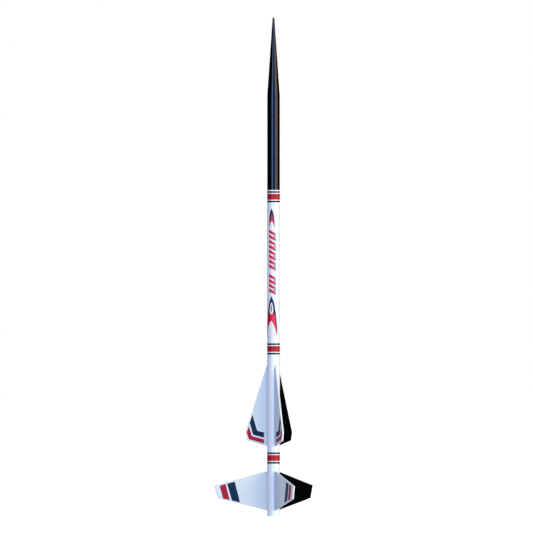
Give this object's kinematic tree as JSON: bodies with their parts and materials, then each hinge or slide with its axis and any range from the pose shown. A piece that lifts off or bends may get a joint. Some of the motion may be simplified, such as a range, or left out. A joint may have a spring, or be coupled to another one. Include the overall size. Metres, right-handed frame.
{
  "type": "model rocket",
  "caption": "Tall slim model rocket: hollow tube body, pull-off nose cone with packed parachute, fore and aft fin sets, engine mount with spring hook, launch lugs.",
  "frame": {"origin": "centre of the body tube's tail rim", "axes": "+Z along the rocket's axis towards the nose tip; -Y along the front fin of each set; the launch lugs are on +Y"},
  "size_m": [0.2062, 0.1788, 0.9773],
  "materials": {
    "black_plastic": "gloss black",
    "grey_plastic": "moulded black, unpolished",
    "black_tube": "gloss black paint over spiral-wound card",
    "white_tube": "gloss white paint over spiral-wound card",
    "white_wood": "gloss white paint over balsa",
    "black_wood": "gloss black paint over balsa",
    "lug_paper": "white painted paper tube",
    "brown_card": "bare kraft card",
    "spring_steel": "spring steel",
    "plain_paper": "folded, glued paper",
    "elastic": "flat braided elastic",
    "canopy_cloth": "thin ripstop cloth",
    "decal_red": "printed film, red",
    "decal_black": "printed film, black",
    "decal_navy": "printed film, dark blue",
    "decal_white": "printed film, white",
    "decal_grey": "printed film, blue-grey",
    "line_thread": "twisted carpet thread"
  },
  "bodies": {
    "airframe": {"upper_body_tube": "black_tube", "middle_body_tube": "white_tube", "lower_body_tube": "white_tube", "upper_coupler": "brown_card", "lower_coupler": "brown_card", "aft_fin_front": "white_wood", "aft_fin_right": "black_wood", "aft_fin_left": "white_wood", "forward_fin_front": "white_wood", "forward_fin_right": "black_wood", "forward_fin_left": "white_wood", "lower_launch_lug": "lug_paper", "upper_launch_lug": "lug_paper", "engine_tube": "brown_card", "forward_centering_ring": "brown_card", "aft_centering_ring": "brown_card", "engine_block": "brown_card", "hook_retainer_ring": "brown_card", "shock_cord_mount": "plain_paper", "shock_cord": "elastic"},
    "nose": {"nose_cone": "black_plastic", "nose_base": "grey_plastic", "parachute": "canopy_cloth", "shroud_lines": "line_thread"},
    "hook": {"engine_hook": "spring_steel"}
  },
  "joints": [
    {"name": "nose_release", "type": "slide", "parent": "airframe", "child": "nose", "axis": [0, 0, 1], "range_m": [0, 0.2], "deforming": ["shock_cord"]},
    {"name": "engine_hook_flex", "type": "hinge", "parent": "airframe", "child": "hook", "pos_m": [0, 0.00965, 0.0764], "axis": [1, 0, 0], "range_deg": [0, 1.3], "stiffness_Nm_per_rad": 2}
  ]
}
